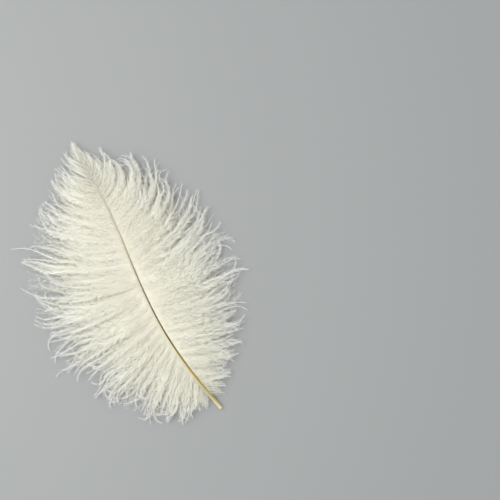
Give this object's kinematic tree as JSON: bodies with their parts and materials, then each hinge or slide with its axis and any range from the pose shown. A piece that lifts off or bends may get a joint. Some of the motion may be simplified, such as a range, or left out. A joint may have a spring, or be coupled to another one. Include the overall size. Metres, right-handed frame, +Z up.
{
  "type": "ostrich feather",
  "caption": "Cream-white ostrich plume lying flat: a slim tapered shaft with broad soft vanes of loose, curling barbs on both sides, for decoration and display.",
  "frame": {"origin": "centre of the feather's bounding box, on the surface it lies on", "axes": "+Y along the shaft from the cut quill to the tip, +X to the feather's right seen from above, +Z up out of the surface"},
  "size_m": [0.1426, 0.2032, 0.0123],
  "materials": {
    "horn": "satin horn, golden at the quill, olive brown along the middle, cream at the tip",
    "down": "matte cream-white fibres"
  },
  "bodies": {
    "root": {"shaft": "horn", "vane_left": "down", "vane_right": "down"}
  },
  "joints": []
}
